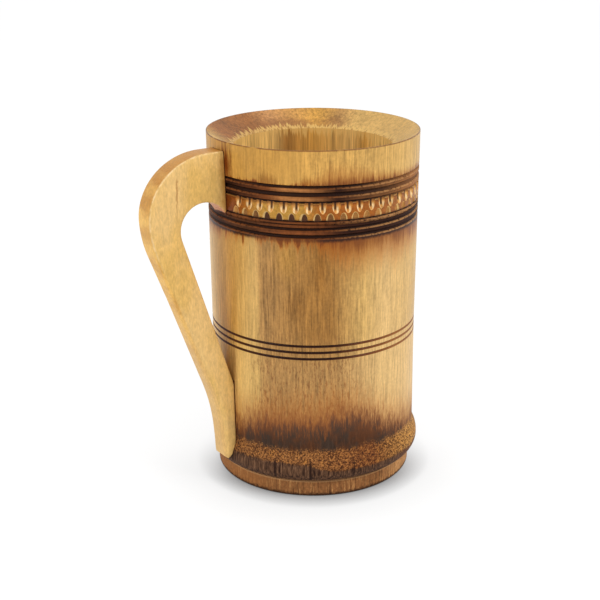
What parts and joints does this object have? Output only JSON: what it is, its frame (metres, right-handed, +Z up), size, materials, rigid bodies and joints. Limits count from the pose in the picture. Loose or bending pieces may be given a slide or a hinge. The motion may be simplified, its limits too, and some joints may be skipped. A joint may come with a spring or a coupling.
{
  "type": "bamboo cup",
  "caption": "Round bamboo cup with a flat plank handle, turned grooves, a carved band below its bevelled rim, and a swollen node ridge above its foot ring.",
  "frame": {"origin": "on the cup's axis, in the plane of the foot ring's underside", "axes": "+Z up along the cup's axis towards the rim, the handle along -X"},
  "size_m": [0.1274, 0.0942, 0.1524],
  "materials": {
    "bamboo": "varnished bamboo with scorched grooves and a scorched foot",
    "handle_wood": "sanded and varnished pale wood",
    "adhesive": "set wood adhesive",
    "dowel_wood": "bare wood"
  },
  "bodies": {
    "root": {"cup_body": "bamboo", "handle": "handle_wood", "upper_glue": "adhesive", "lower_glue": "adhesive", "upper_dowels": "dowel_wood", "lower_dowel": "dowel_wood"}
  },
  "joints": []
}
